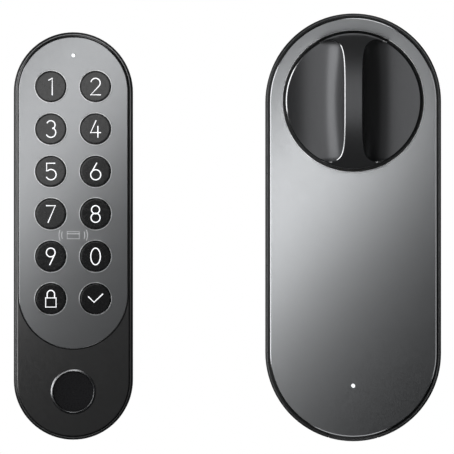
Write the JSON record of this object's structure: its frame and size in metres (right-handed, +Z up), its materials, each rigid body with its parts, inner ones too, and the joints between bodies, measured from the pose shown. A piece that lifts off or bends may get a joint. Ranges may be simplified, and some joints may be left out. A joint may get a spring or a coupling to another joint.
{
  "type": "keypad smart lock",
  "caption": "Keypad smart lock: a slim keypad with round keys and a fingerprint reader, beside a rounded door lock drive with a grip knob and a flat metal cover.",
  "frame": {"origin": "on the door plane, on the axis of the lock cylinder that the drive turns", "axes": "X to the right seen from the front, Y from the fronts back to the door, Z up"},
  "size_m": [0.156, 0.057, 0.156],
  "materials": {
    "drive_casing_plastic": "fine satin black moulding with softly rounded edges",
    "inner_plastic": "plain dark moulding",
    "cover_aluminium": "bead-blasted grey anodised sheet with a bright cut edge",
    "plated_steel": "zinc plated",
    "magnet_nickel": "nickel plated",
    "knob_metal": "dark grey satin coat over metal",
    "bush_bronze": "oil-filled sintered bronze",
    "gear_plastic": "natural acetal",
    "pinion_brass": "machined brass",
    "motor_steel": "rolled can, plated",
    "battery_plastic": "plain black moulding",
    "tab_fabric": "woven tape",
    "board_laminate": "green solder mask",
    "light_diffuser": "milky light pipe",
    "release_plastic": "satin dark grey moulding",
    "mounting_steel": "punched and zinc plated sheet",
    "keypad_casing_plastic": "fine satin black moulding",
    "cell_jacket": "printed film jacket, plain",
    "silicone": "moulded silicone",
    "antenna_copper": "etched copper track",
    "panel_gloss_plastic": "black moulding with a silky face",
    "plate_aluminium": "bead-blasted grey anodised sheet",
    "ring_chrome": "polished dark plating",
    "sensor_glass_black": "black coated sensor face",
    "key_plastic": "dark grey fine-grained cap with a light symbol"
  },
  "bodies": {
    "casings": {"drive_housing": "drive_casing_plastic", "drive_back_cover": "inner_plastic", "drive_frame": "inner_plastic", "drive_casing_screws": "plated_steel", "drive_fixing_screws": "plated_steel", "keypad_shell_screws": "plated_steel", "bracket_lock_screw": "plated_steel", "idler_pin": "plated_steel", "keypad_cell_contacts": "plated_steel", "key_switches": "plated_steel", "release_spring": "plated_steel", "cover_magnets": "magnet_nickel", "knob_bush": "bush_bronze", "gear_motor": "motor_steel", "battery_pack": "battery_plastic", "keypad_buzzer": "battery_plastic", "drive_board_parts": "battery_plastic", "battery_pull_tab": "tab_fabric", "drive_circuit_board": "board_laminate", "keypad_circuit_board": "board_laminate", "fingerprint_module": "board_laminate", "drive_status_light": "light_diffuser", "keypad_status_light": "light_diffuser", "door_mounting_plate": "mounting_steel", "keypad_wall_bracket": "mounting_steel", "keypad_rear_shell": "keypad_casing_plastic", "keypad_battery_cover": "keypad_casing_plastic", "keypad_cells": "cell_jacket", "key_dome_mat": "silicone", "keypad_shell_seal": "silicone", "card_antenna": "antenna_copper", "keypad_front_panel": "panel_gloss_plastic", "keypad_face_plate": "plate_aluminium", "fingerprint_ring": "ring_chrome", "fingerprint_sensor": "sensor_glass_black"},
    "knob": {"knob": "knob_metal", "knob_shaft": "plated_steel", "spindle_coupler": "plated_steel", "coupler_set_screw": "plated_steel", "output_gear": "gear_plastic"},
    "idler": {"idler_gear": "gear_plastic"},
    "pinion": {"motor_pinion": "pinion_brass"},
    "front_cover": {"drive_front_cover": "cover_aluminium", "cover_strike_discs": "plated_steel"},
    "release_button": {"release_button": "release_plastic"},
    "key_1": {"key_1": "key_plastic"},
    "key_2": {"key_2": "key_plastic"},
    "key_3": {"key_3": "key_plastic"},
    "key_4": {"key_4": "key_plastic"},
    "key_5": {"key_5": "key_plastic"},
    "key_6": {"key_6": "key_plastic"},
    "key_7": {"key_7": "key_plastic"},
    "key_8": {"key_8": "key_plastic"},
    "key_9": {"key_9": "key_plastic"},
    "key_0": {"key_0": "key_plastic"},
    "key_lock": {"key_lock": "key_plastic"},
    "key_confirm": {"key_confirm": "key_plastic"}
  },
  "joints": [
    {"name": "knob_turn", "type": "hinge", "parent": "casings", "child": "knob", "pos_m": [0, 0, 0], "axis": [0, 1, 0], "continuous": true},
    {"name": "idler_spin", "type": "hinge", "parent": "casings", "child": "idler", "pos_m": [-0.00905, 0, -0.03158], "axis": [0, 1, 0], "continuous": true},
    {"name": "pinion_spin", "type": "hinge", "parent": "casings", "child": "pinion", "pos_m": [0.00697, 0, -0.03678], "axis": [0, 1, 0], "continuous": true},
    {"name": "front_cover_pull", "type": "slide", "parent": "casings", "child": "front_cover", "axis": [0, -1, 0], "range_m": [0, 0.03]},
    {"name": "release_button_press", "type": "slide", "parent": "casings", "child": "release_button", "axis": [0, 0, 1], "range_m": [0, 0.0012], "stiffness_N_per_m": 900, "springref_m": -0.0012, "deforming": ["release_spring"]},
    {"name": "key_1_press", "type": "slide", "parent": "casings", "child": "key_1", "axis": [0, 1, 0], "range_m": [0, 0.0006], "stiffness_N_per_m": 1200, "springref_m": -0.0003},
    {"name": "key_2_press", "type": "slide", "parent": "casings", "child": "key_2", "axis": [0, 1, 0], "range_m": [0, 0.0006], "stiffness_N_per_m": 1200, "springref_m": -0.0003},
    {"name": "key_3_press", "type": "slide", "parent": "casings", "child": "key_3", "axis": [0, 1, 0], "range_m": [0, 0.0006], "stiffness_N_per_m": 1200, "springref_m": -0.0003},
    {"name": "key_4_press", "type": "slide", "parent": "casings", "child": "key_4", "axis": [0, 1, 0], "range_m": [0, 0.0006], "stiffness_N_per_m": 1200, "springref_m": -0.0003},
    {"name": "key_5_press", "type": "slide", "parent": "casings", "child": "key_5", "axis": [0, 1, 0], "range_m": [0, 0.0006], "stiffness_N_per_m": 1200, "springref_m": -0.0003},
    {"name": "key_6_press", "type": "slide", "parent": "casings", "child": "key_6", "axis": [0, 1, 0], "range_m": [0, 0.0006], "stiffness_N_per_m": 1200, "springref_m": -0.0003},
    {"name": "key_7_press", "type": "slide", "parent": "casings", "child": "key_7", "axis": [0, 1, 0], "range_m": [0, 0.0006], "stiffness_N_per_m": 1200, "springref_m": -0.0003},
    {"name": "key_8_press", "type": "slide", "parent": "casings", "child": "key_8", "axis": [0, 1, 0], "range_m": [0, 0.0006], "stiffness_N_per_m": 1200, "springref_m": -0.0003},
    {"name": "key_9_press", "type": "slide", "parent": "casings", "child": "key_9", "axis": [0, 1, 0], "range_m": [0, 0.0006], "stiffness_N_per_m": 1200, "springref_m": -0.0003},
    {"name": "key_0_press", "type": "slide", "parent": "casings", "child": "key_0", "axis": [0, 1, 0], "range_m": [0, 0.0006], "stiffness_N_per_m": 1200, "springref_m": -0.0003},
    {"name": "key_lock_press", "type": "slide", "parent": "casings", "child": "key_lock", "axis": [0, 1, 0], "range_m": [0, 0.0006], "stiffness_N_per_m": 1200, "springref_m": -0.0003},
    {"name": "key_confirm_press", "type": "slide", "parent": "casings", "child": "key_confirm", "axis": [0, 1, 0], "range_m": [0, 0.0006], "stiffness_N_per_m": 1200, "springref_m": -0.0003}
  ],
  "couplings": [
    {"joint": "idler_spin", "follows": "knob_turn", "ratio": -1.9286},
    {"joint": "pinion_spin", "follows": "knob_turn", "ratio": 3.8571}
  ]
}
